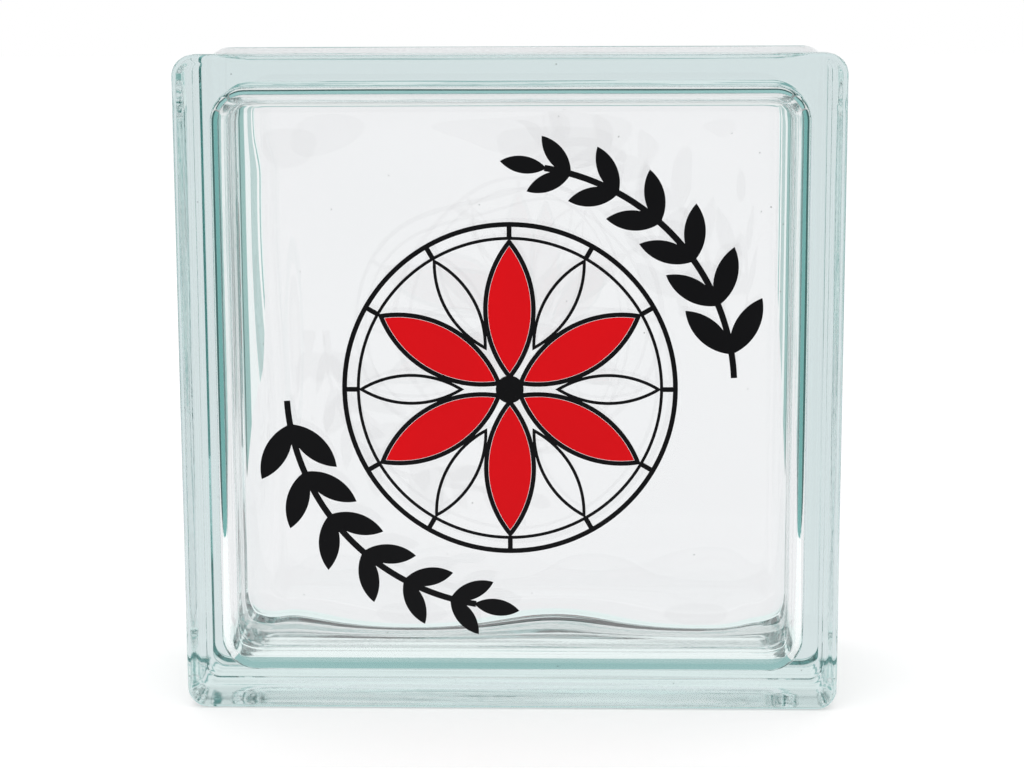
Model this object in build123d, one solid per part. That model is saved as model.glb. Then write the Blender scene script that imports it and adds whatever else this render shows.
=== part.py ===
from build123d import *
import os
from math import cos, pi, radians, sin, tan

# Hollow glass building block, standing on edge as it is laid in a wall, with a cut-film
# ornament on its front face. Millimetres and degrees. X runs across the front, Y from the
# front to the back, Z up. The origin is in the middle of the base.

# Overall size
WIDTH = 190.0
HEIGHT = 190.0
DEPTH = 80.0

# Rim behind each face, and the mortar channel between the two rims
CORNER_RADIUS = 6.0
FACE_EDGE_RADIUS = 2.0
RIM_DEPTH = 10.0
RIM_BACK_RADIUS = 1.5
CHANNEL_DEPTH = 2.0
CHANNEL_FLANK_RUN = 9.0
CHANNEL_ROOT_RADIUS = 40.0

# Sealed cavity
FACE_THICKNESS = 9.0
WALL_AT_SEAM = 6.4
DRAFT_ANGLE = 2.0
CAVITY_CORNER_RADIUS = 11.0
CAVITY_EDGE_RADIUS = 6.0

# Waves pressed into the inner side of each face, dying out before the rounded edge
WAVE_HEIGHT = 1.6
WAVE_LENGTH = 84.0
CROSS_WAVE_HEIGHT = 0.5
CROSS_WAVE_LENGTH = 118.0
FRONT_WAVE_PHASE = 35.0
BACK_WAVE_PHASE = 160.0
WAVE_FADE_RUN = 14.0
WAVE_MARGIN = 1.0
WAVE_POINT_PITCH = 10.0

# Seam where the two halves are fused
INNER_BEAD_RADIUS = 2.0
INNER_BEAD_PROUD = 0.6
OUTER_BEAD_RADIUS = 1.8
OUTER_BEAD_PROUD = 0.4

# Film ornament: a rosette in a double ring
FILM_THICKNESS = 0.1
RING_RADIUS = 48.0
RING_LINE = 1.4
RING_GAP = 2.8
INNER_RING_LINE = 0.9
TIE_COUNT = 12
TIE_WIDTH = 1.4
PETAL_COUNT = 6
PETAL_START = 2.6
PETAL_WIDTH = 15.0
PETAL_LINE = 1.3
PETAL_CLEARANCE = 0.1
PETAL_TURN = 30.0
OPEN_PETAL_START = 13.0
OPEN_PETAL_WIDTH = 9.0
OPEN_PETAL_LINE = 0.9
OPEN_PETAL_TURN = 0.0
CENTRE_SPOT_RADIUS = 4.0

# Film ornament: the two leafy branches round the rosette
BRANCH_RADIUS = 64.0
BRANCH_LINE = 1.8
BRANCH_START_ANGLE = 3.0
BRANCH_SWEEP_ANGLE = 78.0
LEAF_PAIRS = 6
LEAF_LENGTH = 19.0
LEAF_WIDTH = 7.0
LEAF_SPREAD_ANGLE = 38.0
LEAF_OVERLAP = 0.6
TIP_LEAF_SHARE = 0.7

# Turns
FULL_TURN = 360.0
HALF_TURN = 180.0
QUARTER_TURN = 90.0

# Sizes that follow from the ones above
HALF_DEPTH = DEPTH / 2
CHANNEL_TOP = HALF_DEPTH - RIM_DEPTH
CHANNEL_FLOOR = CHANNEL_TOP - CHANNEL_FLANK_RUN
CHANNEL_CORNER_RADIUS = CORNER_RADIUS - CHANNEL_DEPTH
SEAM_INSET = CHANNEL_DEPTH + WALL_AT_SEAM
CAVITY_DEPTH = HALF_DEPTH - FACE_THICKNESS
INNER_RING_RADIUS = RING_RADIUS - RING_LINE - RING_GAP
PETAL_END = INNER_RING_RADIUS - INNER_RING_LINE / 2
TIE_LENGTH = RING_RADIUS - PETAL_END - RING_LINE / 2
END_INSET = SEAM_INSET + CAVITY_DEPTH * tan(radians(DRAFT_ANGLE))
END_CORNER_RADIUS = CAVITY_CORNER_RADIUS - (END_INSET - SEAM_INSET) - CAVITY_EDGE_RADIUS
WAVE_INSET = END_INSET + CAVITY_EDGE_RADIUS + max(END_CORNER_RADIUS, 0) + WAVE_MARGIN
WAVE_REACH_X = WIDTH / 2 - WAVE_INSET
WAVE_REACH_Z = HEIGHT / 2 - WAVE_INSET


def upright(y):
    """Plane across the block at the depth y, centred on the block, facing the front."""
    return Plane(origin=(0, y, HEIGHT / 2), x_dir=(1, 0, 0), z_dir=(0, -1, 0))


def outline(inset, radius, y):
    """Round-cornered outline of the block, moved in on all four sides."""
    return upright(y) * RectangleRounded(WIDTH - 2 * inset, HEIGHT - 2 * inset, radius)


def edges_at(shape, y):
    """Edges of a shape that lie wholly in the upright plane at the depth y."""
    return shape.edges().filter_by_position(Axis.Y, y, y)


def outer_half():
    """Front half of the block as if it were solid: rim, channel flank and channel floor."""
    floor = outline(CHANNEL_DEPTH, CHANNEL_CORNER_RADIUS, 0)
    half = extrude(floor, CHANNEL_FLOOR)
    flank = Sketch() + [
        outline(CHANNEL_DEPTH, CHANNEL_CORNER_RADIUS, -CHANNEL_FLOOR),
        outline(0, CORNER_RADIUS, -CHANNEL_TOP),
    ]
    half += loft(flank, ruled=True)
    half += extrude(outline(0, CORNER_RADIUS, -CHANNEL_TOP), RIM_DEPTH)
    half = fillet(edges_at(half, -HALF_DEPTH), FACE_EDGE_RADIUS)
    half = fillet(edges_at(half, -CHANNEL_TOP), RIM_BACK_RADIUS)
    return fillet(edges_at(half, -CHANNEL_FLOOR), CHANNEL_ROOT_RADIUS)


def fade(offset, reach):
    """Share of the full wave at an offset from the middle: all of it, then none at the reach."""
    share = min(1, (reach - abs(offset)) / WAVE_FADE_RUN)
    return share**2 * (3 - 2 * share)


def wave(across, up, phase):
    """Height of a face's inner side, about its level, at a place measured from its middle."""
    main = WAVE_HEIGHT / 2 * sin(2 * pi * across / WAVE_LENGTH + radians(phase))
    cross = CROSS_WAVE_HEIGHT / 2 * cos(2 * pi * up / CROSS_WAVE_LENGTH + radians(phase))
    return (main + cross) * fade(across, WAVE_REACH_X) * fade(up, WAVE_REACH_Z)


def waved_sheet(phase):
    """Curved sheet with a flat border, at the inner side of the front face."""
    columns = round(2 * WAVE_REACH_X / WAVE_POINT_PITCH)
    rows = round(2 * WAVE_REACH_Z / WAVE_POINT_PITCH)
    points = []
    for row in range(rows + 1):
        up = WAVE_REACH_Z * (2 * row / rows - 1)
        line = []
        for column in range(columns + 1):
            across = WAVE_REACH_X * (2 * column / columns - 1)
            line.append(upright(-CAVITY_DEPTH).from_local_coords((across, up, wave(across, up, phase))))
        points.append(line)
    return Face.make_surface_from_array_of_points(points)


def cavity_half(phase):
    """Hollow of the front half: drafted walls, rounded edge and an end with the waves let in."""
    mouth = outline(SEAM_INSET, CAVITY_CORNER_RADIUS, 0)
    hollow = extrude(mouth, CAVITY_DEPTH, taper=DRAFT_ANGLE)
    hollow = fillet(edges_at(hollow, -CAVITY_DEPTH), CAVITY_EDGE_RADIUS)
    flat_end = hollow.faces().sort_by(Axis.Y)[0]
    walls = [face for face in hollow.faces() if face != flat_end]
    waves = waved_sheet(phase)
    border = flat_end.make_holes([waves.outer_wire()])
    return Solid(Shell([*walls, border, waves]))


def ring(inset, corner_radius, bead_radius):
    """Round bar that runs once round the block in the plane of the seam."""
    path = outline(inset, corner_radius, 0).wire()
    start = Plane(origin=path @ 0, z_dir=path % 0)
    return sweep(start * Circle(bead_radius), path=path)


def cavity():
    """Whole hollow, narrowed at the seam by the bead of squeezed-out glass."""
    sunk = INNER_BEAD_RADIUS - INNER_BEAD_PROUD
    bead = ring(SEAM_INSET - sunk, CAVITY_CORNER_RADIUS + sunk, INNER_BEAD_RADIUS)
    back = mirror(cavity_half(BACK_WAVE_PHASE), Plane.XZ)
    return cavity_half(FRONT_WAVE_PHASE) + back - bead


def glass_block():
    """The block: two pressed halves fused into one hollow piece."""
    sunk = OUTER_BEAD_RADIUS - OUTER_BEAD_PROUD
    bead = ring(CHANNEL_DEPTH + sunk, CHANNEL_CORNER_RADIUS - sunk, OUTER_BEAD_RADIUS)
    front = outer_half()
    return front + mirror(front, Plane.XZ) + bead - cavity()


def lens(length, width, trim):
    """Leaf shape from the origin along X, two equal arcs, with its border trimmed off."""
    radius = (length**2 + width**2) / (4 * width)
    rise = radius - width / 2
    upper = Pos(length / 2, -rise) * Circle(radius - trim)
    lower = Pos(length / 2, rise) * Circle(radius - trim)
    return upper & lower


def petal(start, width, trim, turn):
    """One petal that reaches from near the middle of the ornament to the inner ring."""
    return Rot(0, 0, turn) * Pos(start, 0) * lens(PETAL_END - start, width, trim)


def petal_angle(index):
    """Angle of a petal in its ring."""
    return FULL_TURN * index / PETAL_COUNT


def circle_line(radius, line):
    """Circle drawn as a line of the given width inside the radius."""
    return Circle(radius) - Circle(radius - line)


def film(drawing):
    """Cut film on the front face, drawn about the middle of the face."""
    return extrude(upright(-HALF_DEPTH) * drawing, FILM_THICKNESS)


def double_ring():
    """Two rings with short ties that join them."""
    drawing = circle_line(RING_RADIUS, RING_LINE) + circle_line(INNER_RING_RADIUS, INNER_RING_LINE)
    tie = Pos(PETAL_END + TIE_LENGTH / 2, 0) * Rectangle(TIE_LENGTH, TIE_WIDTH)
    for index in range(TIE_COUNT):
        drawing += Rot(0, 0, FULL_TURN * index / TIE_COUNT) * tie
    return drawing


def rosette_lines():
    """Double ring, petal outlines and centre spot, all in one piece."""
    drawing = double_ring() + Circle(CENTRE_SPOT_RADIUS)
    for start, width, line, turn in (
        (PETAL_START, PETAL_WIDTH, PETAL_LINE, PETAL_TURN),
        (OPEN_PETAL_START, OPEN_PETAL_WIDTH, OPEN_PETAL_LINE, OPEN_PETAL_TURN),
    ):
        for index in range(PETAL_COUNT):
            angle = turn + petal_angle(index)
            drawing += petal(start, width, 0, angle) - petal(start, width, line, angle)
    return film(drawing)


def red_petal(index):
    """Filled petal, lying inside its outline."""
    border = PETAL_LINE + PETAL_CLEARANCE
    return film(petal(PETAL_START, PETAL_WIDTH, border, PETAL_TURN + petal_angle(index)))


def branch_leaf(angle, lean, share):
    """Leaf that grows from the stem at an angle round the ornament, leaning off the stem."""
    leaf = Pos(-LEAF_OVERLAP, 0) * lens(share * LEAF_LENGTH, share * LEAF_WIDTH, 0)
    return Rot(0, 0, angle) * Pos(BRANCH_RADIUS, 0) * Rot(0, 0, QUARTER_TURN + lean) * leaf


def laurel(turn):
    """Curved branch with pairs of leaves that shrink towards a leaf at the tip."""
    drawing = trace(CenterArc((0, 0), BRANCH_RADIUS, BRANCH_START_ANGLE, BRANCH_SWEEP_ANGLE), BRANCH_LINE)
    for pair in range(LEAF_PAIRS):
        along = (pair + 1 / 2) / LEAF_PAIRS
        share = 1 - (1 - TIP_LEAF_SHARE) * along
        for lean in (-LEAF_SPREAD_ANGLE, LEAF_SPREAD_ANGLE):
            drawing += branch_leaf(BRANCH_START_ANGLE + along * BRANCH_SWEEP_ANGLE, lean, share)
    drawing += branch_leaf(BRANCH_START_ANGLE + BRANCH_SWEEP_ANGLE, 0, TIP_LEAF_SHARE)
    return film(Rot(0, 0, turn) * drawing)


os.makedirs("parts", exist_ok=True)
nodes = {
    "glass_block": glass_block(),
    "rosette_lines": rosette_lines(),
    "laurel_upper": laurel(0),
    "laurel_lower": laurel(HALF_TURN),
}
for number in range(PETAL_COUNT):
    nodes[f"red_petal_{number + 1}"] = red_petal(number)
for name, shape in nodes.items():
    export_step(shape, f"parts/{name}.step")
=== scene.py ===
from math import ceil, cos, pi, radians, sin, tan

import bpy
from mathutils import Euler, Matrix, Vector


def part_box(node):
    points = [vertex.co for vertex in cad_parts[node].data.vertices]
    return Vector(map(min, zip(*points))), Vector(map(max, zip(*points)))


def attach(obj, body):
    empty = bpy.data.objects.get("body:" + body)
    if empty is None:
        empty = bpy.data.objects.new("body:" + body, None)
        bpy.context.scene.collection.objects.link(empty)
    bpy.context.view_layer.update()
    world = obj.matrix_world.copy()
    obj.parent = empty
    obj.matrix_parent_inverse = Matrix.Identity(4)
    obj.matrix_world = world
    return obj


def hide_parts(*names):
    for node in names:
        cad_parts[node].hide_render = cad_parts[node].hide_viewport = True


# Looks of the glass block: a finely meshed clear glass body in place of the solid one, frosted
# in its mortar channel, with the cut films on its front. Metres, in the block's own frame:
# X across the front, Y from the front to the back, Z up.

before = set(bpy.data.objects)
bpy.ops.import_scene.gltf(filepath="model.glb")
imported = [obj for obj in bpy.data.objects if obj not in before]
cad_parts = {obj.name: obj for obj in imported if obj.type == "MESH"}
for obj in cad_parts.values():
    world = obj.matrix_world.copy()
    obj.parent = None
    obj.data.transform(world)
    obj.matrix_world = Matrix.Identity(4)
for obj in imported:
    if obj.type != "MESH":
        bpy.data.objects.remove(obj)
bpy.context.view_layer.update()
MM = 0.001

# Sizes of the block
LOW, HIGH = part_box("glass_block")
WIDTH = HIGH.x - LOW.x
HEIGHT = HIGH.z - LOW.z
HALF_DEPTH = (HIGH.y - LOW.y) / 2
MID_HEIGHT = (HIGH.z + LOW.z) / 2
CORNER_RADIUS = 6.0 * MM
FACE_EDGE_RADIUS = 2.0 * MM
RIM_DEPTH = 10.0 * MM
RIM_BACK_RADIUS = 1.5 * MM
CHANNEL_DEPTH = 2.0 * MM
CHANNEL_FLANK_RUN = 9.0 * MM
CHANNEL_ROOT_RADIUS = 40.0 * MM
FACE_THICKNESS = 9.0 * MM
WALL_AT_SEAM = 6.4 * MM
DRAFT_ANGLE = radians(2.0)
CAVITY_CORNER_RADIUS = 11.0 * MM
CAVITY_EDGE_RADIUS = 6.0 * MM
INNER_BEAD_PROUD = 0.6 * MM
INNER_BEAD_HALF_WIDTH = 1.5 * MM
OUTER_BEAD_PROUD = 0.4 * MM
OUTER_BEAD_HALF_WIDTH = 1.2 * MM

# Waves of the inner faces
WAVE_HEIGHT = 1.6 * MM
WAVE_LENGTH = 84.0 * MM
CROSS_WAVE_HEIGHT = 0.5 * MM
CROSS_WAVE_LENGTH = 118.0 * MM
FRONT_WAVE_PHASE = radians(35.0)
BACK_WAVE_PHASE = radians(160.0)
WAVE_FADE_RUN = 14.0 * MM
WAVE_MARGIN = 1.0 * MM

# Unevenness that pressing leaves in the walls: each ripple has whole turns round the block,
# turns in a metre of depth, and a starting turn
RIPPLES = ((3, 61, 0.1), (7, -94, 0.45), (11, 133, 0.8))
CAVITY_RIPPLE = 0.06 * MM
CHANNEL_RIPPLE = 0.08 * MM

# Mesh density
SIDE_STEPS = 68
CORNER_STEPS = 12
OUTER_ARC_STEPS = 10
CAVITY_ARC_STEPS = 14
BEAD_STEPS = 8
CAP_RINGS = 48
CAP_SUPPORT = 0.4 * MM
WALL_STEP = 2.0 * MM

# How frosted the channel is, beside the back rim's flank, and how steeply the frost sets in
FLOOR_FROST_SHARE = 0.15
FROST_RISE = 4.0

# How far the glass closes over the backs of the films, so that they read as stuck down
FILM_SINK = 0.02 * MM

# Places worked out from the sizes
SEAM_INSET = CHANNEL_DEPTH + WALL_AT_SEAM
CAVITY_DEPTH = HALF_DEPTH - FACE_THICKNESS
END_INSET = SEAM_INSET + CAVITY_DEPTH * tan(DRAFT_ANGLE)
END_CORNER_RADIUS = CAVITY_CORNER_RADIUS - (END_INSET - SEAM_INSET) - CAVITY_EDGE_RADIUS
WAVE_INSET = END_INSET + CAVITY_EDGE_RADIUS + END_CORNER_RADIUS + WAVE_MARGIN
CHANNEL_TOP = HALF_DEPTH - RIM_DEPTH
CHANNEL_FLOOR = CHANNEL_TOP - CHANNEL_FLANK_RUN
CHANNEL_CORNER_RADIUS = CORNER_RADIUS - CHANNEL_DEPTH


def clamped(share):
    return min(1.0, max(0.0, share))


def ripple(around, depth):
    """Unevenness of a wall, as a share of its most, part of the way round and at a depth."""
    turns = [count * around + pitch * depth + start for count, pitch, start in RIPPLES]
    return sum(sin(2 * pi * turn) for turn in turns) / len(turns)


def loop(inset, radius, y, unevenness=0.0):
    """Points of a round-cornered outline, moved in on all sides, at the depth y."""
    halves = (WIDTH / 2 - inset, HEIGHT / 2 - inset)
    steps = SIDE_STEPS + CORNER_STEPS
    points = []
    for quarter in range(4):
        turn = quarter * pi / 2
        side, reach = halves[quarter % 2], halves[1 - quarter % 2]
        for step in range(steps):
            dent = unevenness * ripple((quarter + step / steps) / 4, y)
            if step < SIDE_STEPS:
                u, v = side - dent, (2 * step / SIDE_STEPS - 1) * (reach - radius)
            else:
                angle = (step - SIDE_STEPS) / CORNER_STEPS * pi / 2
                u = side - radius + (radius - dent) * cos(angle)
                v = reach - radius + (radius - dent) * sin(angle)
            x, z = u * cos(turn) - v * sin(turn), u * sin(turn) + v * cos(turn)
            points.append((x, y, MID_HEIGHT + z))
    return points


def rounded(corners, steps):
    """Profile line through (y, inset) corners, each with its rounding radius, as points."""
    points = [Vector(corners[0][:2])]
    for before, corner, after in zip(corners, corners[1:], corners[2:]):
        here = Vector(corner[:2])
        to_before = (Vector(before[:2]) - here).normalized()
        to_after = (Vector(after[:2]) - here).normalized()
        half = to_before.angle(to_after) / 2
        radius = corner[2]
        centre = here + (to_before + to_after).normalized() * (radius / sin(half))
        first = here + to_before * (radius / tan(half)) - centre
        last = here + to_after * (radius / tan(half)) - centre
        for step in range(steps + 1):
            arm = first.normalized().slerp(last.normalized(), step / steps)
            points.append(centre + arm * radius)
    points.append(Vector(corners[-1][:2]))
    return points


def subdivided(points, longest):
    """The same line with extra points, so that no stretch is longer than asked."""
    line = [points[0]]
    for start, end in zip(points, points[1:]):
        steps = max(1, ceil((end - start).length / longest))
        line += [start.lerp(end, step / steps) for step in range(1, steps + 1)]
    return line


def bump(offset, half_width):
    """Height share of a rounded bead at an offset from its middle."""
    return cos(offset / half_width * pi / 2) ** 2 if abs(offset) < half_width else 0.0


def with_bead(line, half_width, proud):
    """Profile that ends on the seam, with fine steps there and the bead raised on it."""
    last = line[-1]
    slope = (line[-2] - last).normalized()
    fine = [last + slope * half_width * (1 - step / BEAD_STEPS) for step in range(BEAD_STEPS + 1)]
    coarse = [p for p in line if abs(p.x) > half_width * (1 + 1 / BEAD_STEPS)]
    return [Vector((p.x, p.y + proud * bump(p.x, half_width))) for p in coarse + fine]


def mirrored(half):
    """Both halves of a profile that ends on the seam."""
    return half + [Vector((-p.x, p.y)) for p in reversed(half[:-1])]


def outer_profile():
    """Whole outside profile from the front face's border to the back face's border."""
    corners = [
        (-HALF_DEPTH, FACE_EDGE_RADIUS + CAP_SUPPORT, 0),
        (-HALF_DEPTH, 0, FACE_EDGE_RADIUS),
        (-CHANNEL_TOP, 0, RIM_BACK_RADIUS),
        (-CHANNEL_FLOOR, CHANNEL_DEPTH, CHANNEL_ROOT_RADIUS),
        (0, CHANNEL_DEPTH, 0),
    ]
    line = subdivided(rounded(corners, OUTER_ARC_STEPS), WALL_STEP)
    return mirrored(with_bead(line, OUTER_BEAD_HALF_WIDTH, -OUTER_BEAD_PROUD))


def cavity_profile():
    """Whole inside profile from the front end's border to the back end's border."""
    corners = [
        (-CAVITY_DEPTH, END_INSET + 2 * CAVITY_EDGE_RADIUS, 0),
        (-CAVITY_DEPTH, END_INSET, CAVITY_EDGE_RADIUS),
        (0, SEAM_INSET, 0),
    ]
    line = subdivided(rounded(corners, CAVITY_ARC_STEPS)[1:], WALL_STEP)
    return mirrored(with_bead(line, INNER_BEAD_HALF_WIDTH, INNER_BEAD_PROUD))


def fade(offset, reach):
    """Share of the full wave at an offset from the middle: all of it, then none at the reach."""
    share = clamped((reach - abs(offset)) / WAVE_FADE_RUN)
    return share**2 * (3 - 2 * share)


def wave(x, z, phase):
    """Height of a face's inner side, outwards, at a place measured from its middle."""
    main = WAVE_HEIGHT / 2 * sin(2 * pi * x / WAVE_LENGTH + phase)
    cross = CROSS_WAVE_HEIGHT / 2 * cos(2 * pi * z / CROSS_WAVE_LENGTH + phase)
    return (main + cross) * fade(x, WIDTH / 2 - WAVE_INSET) * fade(z, HEIGHT / 2 - WAVE_INSET)


class MeshBuild:
    """Vertices and faces of one mesh, grown from loops of equal length."""

    def __init__(self):
        self.points, self.faces, self.frost = [], [], []

    def add_loop(self, points, frost=0.0):
        """New vertices, all as frosted as given, as a list of their numbers."""
        first = len(self.points)
        self.points += points
        self.frost += [frost] * len(points)
        return list(range(first, first + len(points)))

    def bridge(self, a, b, flip):
        """Faces between two loops."""
        for i in range(len(a)):
            j = (i + 1) % len(a)
            face = (a[i], b[i], b[j], a[j])
            self.faces.append(face[::-1] if flip else face)

    def cap(self, ring, flip):
        """One flat face that closes a loop."""
        self.faces.append(tuple(ring if flip else ring[::-1]))

    def fan(self, ring, tip, flip):
        """Faces from a loop to one point in its middle."""
        first = self.add_loop([tip])[0]
        for i in range(len(ring)):
            j = (i + 1) % len(ring)
            face = (ring[i], first, ring[j])
            self.faces.append(face[::-1] if flip else face)

    def done(self, name):
        mesh = bpy.data.meshes.new(name)
        mesh.from_pydata(self.points, [], self.faces)
        mesh.shade_smooth()
        mesh.attributes.new("frost", "FLOAT", "POINT").data.foreach_set("value", self.frost)
        return placed(bpy.data.objects.new(name, mesh))


def placed(obj):
    """The same object, put in the scene."""
    bpy.context.scene.collection.objects.link(obj)
    return obj


def frost_at(y, in_channel):
    """How frosted the outside is: clear on the rims, faint in the channel, most on the back flank."""
    on_flank = clamped(FROST_RISE * (y - CHANNEL_FLOOR) / CHANNEL_FLANK_RUN)
    most = FLOOR_FROST_SHARE + (1 - FLOOR_FROST_SHARE) * on_flank
    return clamped(FROST_RISE * in_channel) * most


def outer_shell(build):
    """Outside of the block: flat faces, rims, and the uneven, frosted mortar channel."""
    rings = []
    for p in outer_profile():
        in_channel = clamped(p.y / CHANNEL_DEPTH) if abs(p.x) < CHANNEL_TOP else 0.0
        if abs(p.x) > HALF_DEPTH - FACE_EDGE_RADIUS:
            radius = CORNER_RADIUS - p.y
        else:
            radius = CORNER_RADIUS - in_channel * (CORNER_RADIUS - CHANNEL_CORNER_RADIUS)
        points = loop(p.y, radius, p.x, CHANNEL_RIPPLE * in_channel)
        rings.append(build.add_loop(points, frost_at(p.x, in_channel)))
    for a, b in zip(rings, rings[1:]):
        build.bridge(a, b, flip=False)
    build.cap(rings[0], flip=True)
    build.cap(rings[-1], flip=False)
    for index in rings[0] + rings[1]:
        x, y, z = build.points[index]
        build.points[index] = (x, y - FILM_SINK, z)


def cavity_end(build, ring, sign, phase):
    """Waved end of the cavity, in ever smaller rings from its border to its middle."""
    border = [build.points[i] for i in ring]
    outer = ring
    for step in range(CAP_RINGS - 1, 0, -1):
        share = step / CAP_RINGS
        points = []
        for x, y, z in border:
            x, z = x * share, (z - MID_HEIGHT) * share
            points.append((x, y + sign * wave(x, z, phase), MID_HEIGHT + z))
        inner = build.add_loop(points)
        build.bridge(outer, inner, flip=sign > 0)
        outer = inner
    tip = (0, sign * (CAVITY_DEPTH + wave(0, 0, phase)), MID_HEIGHT)
    build.fan(outer, tip, flip=sign > 0)


def cavity_shell(build):
    """Inside of the block: uneven drafted walls, rounded edges and the waved ends."""
    rings = []
    for p in cavity_profile():
        radius = CAVITY_CORNER_RADIUS - (p.y - SEAM_INSET)
        on_wall = clamped((CAVITY_DEPTH - abs(p.x)) / CAVITY_EDGE_RADIUS)
        rings.append(build.add_loop(loop(p.y, radius, p.x, CAVITY_RIPPLE * on_wall)))
    for a, b in zip(rings, rings[1:]):
        build.bridge(a, b, flip=True)
    cavity_end(build, rings[0], -1, FRONT_WAVE_PHASE)
    cavity_end(build, rings[-1], 1, BACK_WAVE_PHASE)


def glass_body():
    """The hollow glass piece, as one mesh with an outside and an inside."""
    build = MeshBuild()
    outer_shell(build)
    cavity_shell(build)
    return build.done("glass_body")


# Glass: tint, frost of the channel, streaks left by pressing, and small seeds left in the melt.
# Grains, streaks, seeds and clouds are counts to the metre along X, Y and Z.
GLASS_IOR = 1.52
TINT_COLOUR = (0.0, 0.45, 0.43)
TINT_DENSITY = 4.2
FROST_ROUGHNESS = (0.35, 0.75)
FROST_GRAINS = 3 * (900.0,)
FROST_BUMP = 0.06 * MM
STREAKS = (9.0, 260.0, 9.0)
STREAK_BUMP = 0.1 * MM
SEEDS = 3 * (85.0,)
SEED_SIZE = (0.012, 0.03)
SEED_SHADE = 0.3

# Film: its colours, its fine grain, and how its tone and gloss vary
BLACK_COLOUR = (0.008, 0.008, 0.0092)
RED_COLOUR = (0.88, 0.001, 0.006)
FILM_SHADE_SHARE = 0.9
FILM_SPECULAR = 0.12
FILM_GRAINS = 3 * (2600.0,)
FILM_BUMP = 0.01 * MM
FILM_CLOUDS = 3 * (45.0,)
FILM_ROUGHNESS = (0.36, 0.5)

# Where most values of a noise texture lie
NOISE_SPREAD = (0.3, 0.7)


def principled(name):
    """New material with its nodes, its links and its one shader node."""
    material = bpy.data.materials.new(name)
    material.use_nodes = True
    tree = material.node_tree
    return material, tree.nodes, tree.links, tree.nodes["Principled BSDF"]


def texture(nodes, links, kind, counts):
    """Solid texture in the block's own frame, with counts of features to the metre on each axis."""
    place = nodes.new("ShaderNodeTexCoord")
    stretch = nodes.new("ShaderNodeMapping")
    stretch.inputs["Scale"].default_value = counts
    node = nodes.new(kind)
    node.inputs["Scale"].default_value = 1.0
    node.inputs["Detail"].default_value = 0.0
    links.new(place.outputs["Object"], stretch.inputs["Vector"])
    links.new(stretch.outputs["Vector"], node.inputs["Vector"])
    return node


def ranged(nodes, links, value, from_range, to_range, way="LINEAR"):
    """Value moved from one range to another, kept within it."""
    node = nodes.new("ShaderNodeMapRange")
    node.interpolation_type = way
    node.inputs["From Min"].default_value, node.inputs["From Max"].default_value = from_range
    node.inputs["To Min"].default_value, node.inputs["To Max"].default_value = to_range
    links.new(value, node.inputs["Value"])
    return node.outputs["Result"]


def joined(nodes, links, operation, a, b):
    """Two values joined by a sum of the named kind."""
    node = nodes.new("ShaderNodeMath")
    node.operation = operation
    links.new(a, node.inputs[0])
    links.new(b, node.inputs[1])
    return node.outputs["Value"]


def relief(nodes, links, height, distance):
    """Bump node for fine relief of a greatest height."""
    node = nodes.new("ShaderNodeBump")
    node.inputs["Distance"].default_value = distance
    links.new(height, node.inputs["Height"])
    return node


def glass_material():
    """Clear soda glass with a green-blue tint that deepens along the light's way."""
    material, nodes, links, shader = principled("clear_glass")
    shader.inputs["Transmission Weight"].default_value = 1.0
    shader.inputs["IOR"].default_value = GLASS_IOR

    frost = nodes.new("ShaderNodeAttribute")
    frost.attribute_name = "frost"
    amount = frost.outputs["Fac"]
    grain = texture(nodes, links, "ShaderNodeTexNoise", FROST_GRAINS).outputs["Fac"]
    rough = ranged(nodes, links, grain, NOISE_SPREAD, FROST_ROUGHNESS)
    links.new(joined(nodes, links, "MULTIPLY", amount, rough), shader.inputs["Roughness"])

    streaks = texture(nodes, links, "ShaderNodeTexNoise", STREAKS).outputs["Fac"]
    pressed = relief(nodes, links, streaks, STREAK_BUMP)
    grains = relief(nodes, links, joined(nodes, links, "MULTIPLY", amount, grain), FROST_BUMP)
    links.new(pressed.outputs["Normal"], grains.inputs["Normal"])
    links.new(grains.outputs["Normal"], shader.inputs["Normal"])

    seeds = texture(nodes, links, "ShaderNodeTexVoronoi", SEEDS).outputs["Distance"]
    shade = ranged(nodes, links, seeds, SEED_SIZE, (SEED_SHADE, 1.0))
    links.new(shade, shader.inputs["Base Color"])

    tint = nodes.new("ShaderNodeVolumeAbsorption")
    tint.inputs["Color"].default_value = (*TINT_COLOUR, 1)
    tint.inputs["Density"].default_value = TINT_DENSITY
    links.new(tint.outputs["Volume"], nodes["Material Output"].inputs["Volume"])
    return material


def film_material(name, colour):
    """Cut vinyl film with a soft, slightly uneven gloss and a fine grain."""
    material, nodes, links, shader = principled(name)
    shader.inputs["Specular IOR Level"].default_value = FILM_SPECULAR
    clouds = texture(nodes, links, "ShaderNodeTexNoise", FILM_CLOUDS).outputs["Fac"]
    gloss = ranged(nodes, links, clouds, NOISE_SPREAD, FILM_ROUGHNESS)
    links.new(gloss, shader.inputs["Roughness"])
    tone = nodes.new("ShaderNodeMix")
    tone.data_type = "RGBA"
    tone.inputs["A"].default_value = (*(FILM_SHADE_SHARE * part for part in colour), 1)
    tone.inputs["B"].default_value = (*colour, 1)
    links.new(clouds, tone.inputs["Factor"])
    links.new(tone.outputs["Result"], shader.inputs["Base Color"])
    grain = texture(nodes, links, "ShaderNodeTexNoise", FILM_GRAINS).outputs["Fac"]
    grains = relief(nodes, links, grain, FILM_BUMP)
    links.new(grains.outputs["Normal"], shader.inputs["Normal"])
    return material


def dress(obj, material):
    obj.data.materials.clear()
    obj.data.materials.append(material)


# Floor, which glows a little so that it stays pale under the glass
FLOOR_REACH = 6.0
FLOOR_DROP = 0.05 * MM
FLOOR_COLOUR = (0.92, 0.92, 0.92)
FLOOR_GLOW = 0.45

# Lamp
LAMP_PLACE = (-0.2, -0.8, 1.6)
LAMP_SIZE = 1.4
LAMP_POWER = 5.0

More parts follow.
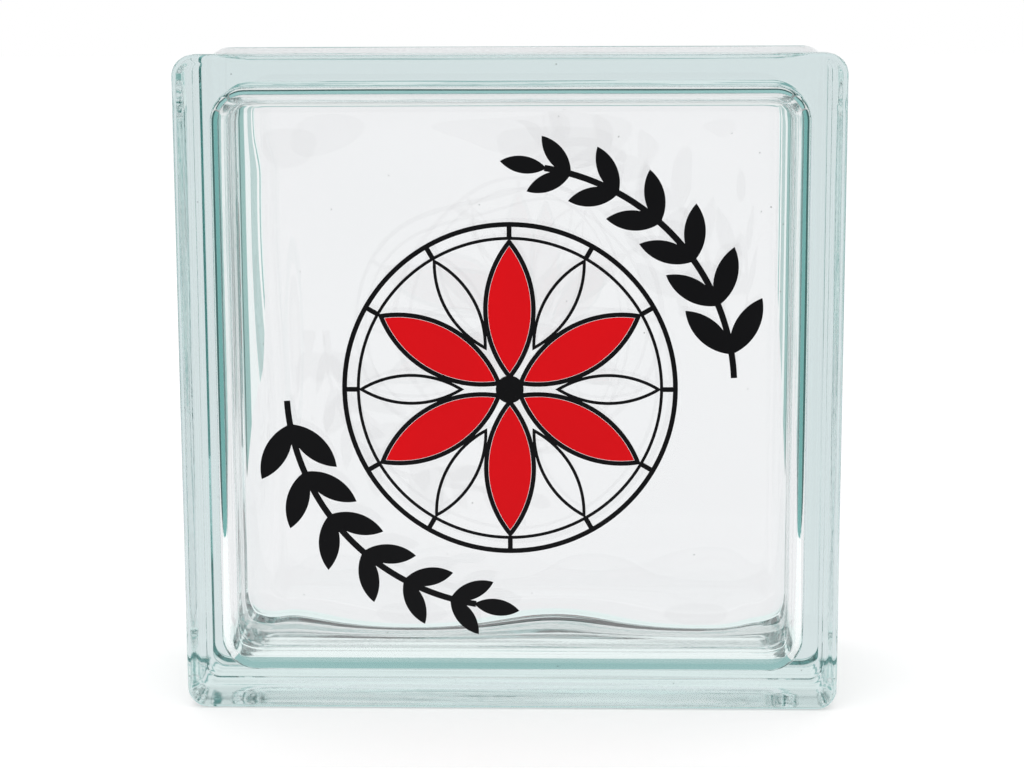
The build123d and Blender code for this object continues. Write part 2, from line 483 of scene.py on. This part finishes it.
# Surround: its light, and the part of a direction's Y or Z over which each change comes in
BACK_LIGHT = 1.0
UPPER_BACK_SHARE = 0.85
TOP_LIGHT = 0.65
DIM_LIGHT = 0.35
BACK_EDGE = (0.1, 0.5)
BACK_TOP_EDGE = (0.25, 0.45)
TOP_EDGE = (0.4, 0.65)

# Glowing cards, seen only in the glass, that paint the dark and pale lines of its edges as
# painted reflections and refractions. Each has where it starts and ends, in depth or, behind,
# in height, and the tone it glows with.
# Glow tones of the cards: a painted dark teal for edge lines, and a painted tone for the clear middle
PAINTED_DARK_TEAL = (0.06, 0.13, 0.125)
PAINTED_CLEAR_TONE = (0.96, 0.935, 0.95)
SIDE_CARD_PLACE = 0.3
SIDE_CARD_HEIGHT = 0.3
SIDE_CARDS = (
    ((-0.26, 0.03), (0.2, 0.46, 0.44)),
    ((0.03, 0.22), PAINTED_DARK_TEAL),
    ((0.22, 0.36), (0.34, 0.54, 0.52)),
    ((0.36, 0.5), (0.98, 1.0, 1.0)),
    ((0.5, 0.7), (0.52, 0.66, 0.65)),
    ((0.7, 0.8), (1.0, 1.0, 1.0)),
    ((0.8, 0.88), (0.3, 0.52, 0.5)),
    ((0.88, 1.0), (0.95, 1.0, 1.0)),
)
BACK_CARD_PLACE = 5.9
BACK_CARD_REACH = 4.0
# Far glowing cards behind, seen only through the glass: painted tones for the clear middle and top
# band
BACK_CARDS = (((0.0, 0.3), PAINTED_CLEAR_TONE), ((0.3, 0.9), (0.3, 0.5, 0.49)))
TOP_CARD_PLACE = 0.4
TOP_CARD_REACH = 0.4
# Glowing cards overhead, seen only in the glass: painted dark teal lines round the cavity's top
TOP_CARDS = (((-0.12, 0.03), (0.36, 0.6, 0.59)), ((0.03, 0.15), PAINTED_DARK_TEAL))

# Glowing cards on the floor, each with its reach to either side as well, seen only through the
# glass: painted light under the block and a painted tone for the floor seen through the clear glass
BASE_CARD_PLACE = -FLOOR_DROP / 2
BASE_CARDS = (
    (0.094, (-0.04, -0.012), (0.32, 0.53, 0.52)),
    (0.14, (-0.012, 0.045), (0.9, 0.98, 0.97)),
    (2.0, (0.045, BACK_CARD_PLACE), PAINTED_CLEAR_TONE),
)

# Dark glowing card in front of the block, and the paler glowing steps on the floor from it
# towards the block: a painted dark reflection, seen only mirrored in the front face
FRONT_CARD_PLACE = -0.3
FRONT_CARD_REACH = 0.6
FRONT_REFLECTION_TONE = (0.12, 0.125, 0.13)
FRONT_STEPS = 4
FRONT_STEP_RUN = 0.06
FRONT_STEP_RISE = 0.18

# Light paths: how many times they may turn
PATH_TURNS = 32
MIRROR_TURNS = 16
DIFFUSE_TURNS = 4

# Camera, at the photo's angle: lens and sensor in millimetres, turns in degrees
CAMERA_PLACE = (0.0202, -0.714, 0.2107)
CAMERA_DIP = 9.607
CAMERA_ROLL = 0.223
CAMERA_SWING = 1.623
CAMERA_LENS = 84.15
CAMERA_SENSOR = 36.0
CAMERA_CLIP = 0.01


def upright(reach, low, high, y):
    """Corners of a card that stands across the view."""
    return [(-reach, y, low), (reach, y, low), (reach, y, high), (-reach, y, high)]


def beside(x, near, far, high):
    """Corners of a card that stands beside the block."""
    return [(x, near, 0), (x, far, 0), (x, far, high), (x, near, high)]


def level(reach, near, far, z):
    """Corners of a level card."""
    return [(-reach, near, z), (reach, near, z), (reach, far, z), (-reach, far, z)]


def glowing_sheet(name, corners, material_name, colour, glow, strength):
    """Flat staging piece with a matt colour and a glow."""
    mesh = bpy.data.meshes.new(name)
    mesh.from_pydata(corners, [], [(0, 1, 2, 3)])
    obj = placed(bpy.data.objects.new(name, mesh))
    material, _, _, shader = principled(material_name)
    shader.inputs["Base Color"].default_value = (*colour, 1)
    shader.inputs["Specular IOR Level"].default_value = 0.0
    shader.inputs["Emission Color"].default_value = (*glow, 1)
    shader.inputs["Emission Strength"].default_value = strength
    dress(obj, material)
    return obj, material


def floor():
    corners = level(FLOOR_REACH, -FLOOR_REACH, FLOOR_REACH, -FLOOR_DROP)
    glowing_sheet("floor", corners, "pale_floor", FLOOR_COLOUR, (1, 1, 1), FLOOR_GLOW)


def painted_light_card(corners, tone):
    """Card glowing with an even tone, seen only in the glass: painted reflections and refractions of
    edges.
    """
    obj, material = glowing_sheet("painted_light_card", corners, "painted_light_card", (0, 0, 0), tone, 1.0)
    material.cycles.emission_sampling = "NONE"
    obj.visible_camera = False
    obj.visible_diffuse = False
    obj.visible_shadow = False
    return obj


def front_cards():
    """Glowing cards that the front face mirrors, and that aren't seen through the glass: a painted
    dark reflection.
    """
    stand = upright(FRONT_CARD_REACH, 0, FRONT_CARD_REACH, FRONT_CARD_PLACE)
    cards = [painted_light_card(stand, FRONT_REFLECTION_TONE)]
    for step in range(FRONT_STEPS):
        near = FRONT_CARD_PLACE + step * FRONT_STEP_RUN
        tone = [part + (step + 1) * FRONT_STEP_RISE for part in FRONT_REFLECTION_TONE]
        sheet = level(FRONT_CARD_REACH, near, near + FRONT_STEP_RUN, BASE_CARD_PLACE)
        cards.append(painted_light_card(sheet, tone))
    for obj in cards:
        obj.visible_transmission = False


# Glowing cards seen only in the glass: painted reflections and refractions at its edges, and painted
# light under and behind the block
def all_cards():
    for x in (-SIDE_CARD_PLACE, SIDE_CARD_PLACE):
        for (near, far), tone in SIDE_CARDS:
            painted_light_card(beside(x, near, far, SIDE_CARD_HEIGHT), tone)
    for (low, high), tone in BACK_CARDS:
        painted_light_card(upright(BACK_CARD_REACH, low, high, BACK_CARD_PLACE), tone)
    front_cards()
    for (near, far), tone in TOP_CARDS:
        painted_light_card(level(TOP_CARD_REACH, near, far, TOP_CARD_PLACE), tone)
    for reach, (near, far), tone in BASE_CARDS:
        painted_light_card(level(reach, near, far, BASE_CARD_PLACE), tone)


def lamp():
    """Wide soft lamp overhead, which lights the floor and the films."""
    data = bpy.data.lights.new("lamp", "AREA")
    data.size = LAMP_SIZE
    data.energy = LAMP_POWER
    obj = placed(bpy.data.objects.new("lamp", data))
    obj.location = LAMP_PLACE
    obj.rotation_euler = (-Vector(LAMP_PLACE)).to_track_quat("-Z", "Y").to_euler()
    obj.visible_glossy = False
    obj.visible_transmission = False


def surround():
    """Dim surround with a bright back and a bright top, so that the glass shows its edges."""
    world = bpy.data.worlds.new("studio")
    bpy.context.scene.world = world
    world.use_nodes = True
    nodes, links = world.node_tree.nodes, world.node_tree.links
    place = nodes.new("ShaderNodeTexCoord")
    parts = nodes.new("ShaderNodeSeparateXYZ")
    links.new(place.outputs["Generated"], parts.inputs["Vector"])

    def rise(axis, edge, start, end):
        """Light that changes softly from start to end as the direction goes over an edge."""
        return ranged(nodes, links, parts.outputs[axis], edge, (start, end), "SMOOTHSTEP")

    low_back = rise("Y", BACK_EDGE, 0.0, BACK_LIGHT)
    by_height = rise("Z", BACK_TOP_EDGE, 1.0, UPPER_BACK_SHARE)
    back = joined(nodes, links, "MULTIPLY", low_back, by_height)
    bright = joined(nodes, links, "MAXIMUM", back, rise("Z", TOP_EDGE, 0.0, TOP_LIGHT))
    strength = nodes.new("ShaderNodeMath")
    strength.operation = "MAXIMUM"
    strength.inputs[1].default_value = DIM_LIGHT
    links.new(bright, strength.inputs[0])
    links.new(strength.outputs["Value"], nodes["Background"].inputs["Strength"])
    nodes["Background"].inputs["Color"].default_value = (1, 1, 1, 1)


def light_paths():
    """Enough turns for light to pass the glass's many faces, and plain tones."""
    scene = bpy.context.scene
    scene.view_settings.view_transform = "Standard"
    scene.cycles.max_bounces = PATH_TURNS
    scene.cycles.transmission_bounces = PATH_TURNS
    scene.cycles.glossy_bounces = MIRROR_TURNS
    scene.cycles.diffuse_bounces = DIFFUSE_TURNS
    scene.cycles.use_denoising = True


def camera():
    data = bpy.data.cameras.new("camera")
    data.lens = CAMERA_LENS
    data.sensor_width = CAMERA_SENSOR
    data.clip_start = CAMERA_CLIP
    obj = placed(bpy.data.objects.new("camera", data))
    obj.location = CAMERA_PLACE
    turns = (90 - CAMERA_DIP, CAMERA_ROLL, CAMERA_SWING)
    obj.rotation_euler = Euler([radians(turn) for turn in turns], "XYZ")
    bpy.context.scene.camera = obj


body = glass_body()
dress(body, glass_material())
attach(body, "root")
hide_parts("glass_block")

black = film_material("black_film", BLACK_COLOUR)
red = film_material("red_film", RED_COLOUR)
for name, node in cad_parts.items():
    if name != "glass_block":
        dress(node, red if name.startswith("red") else black)

floor()
all_cards()
lamp()
surround()
light_paths()
camera()
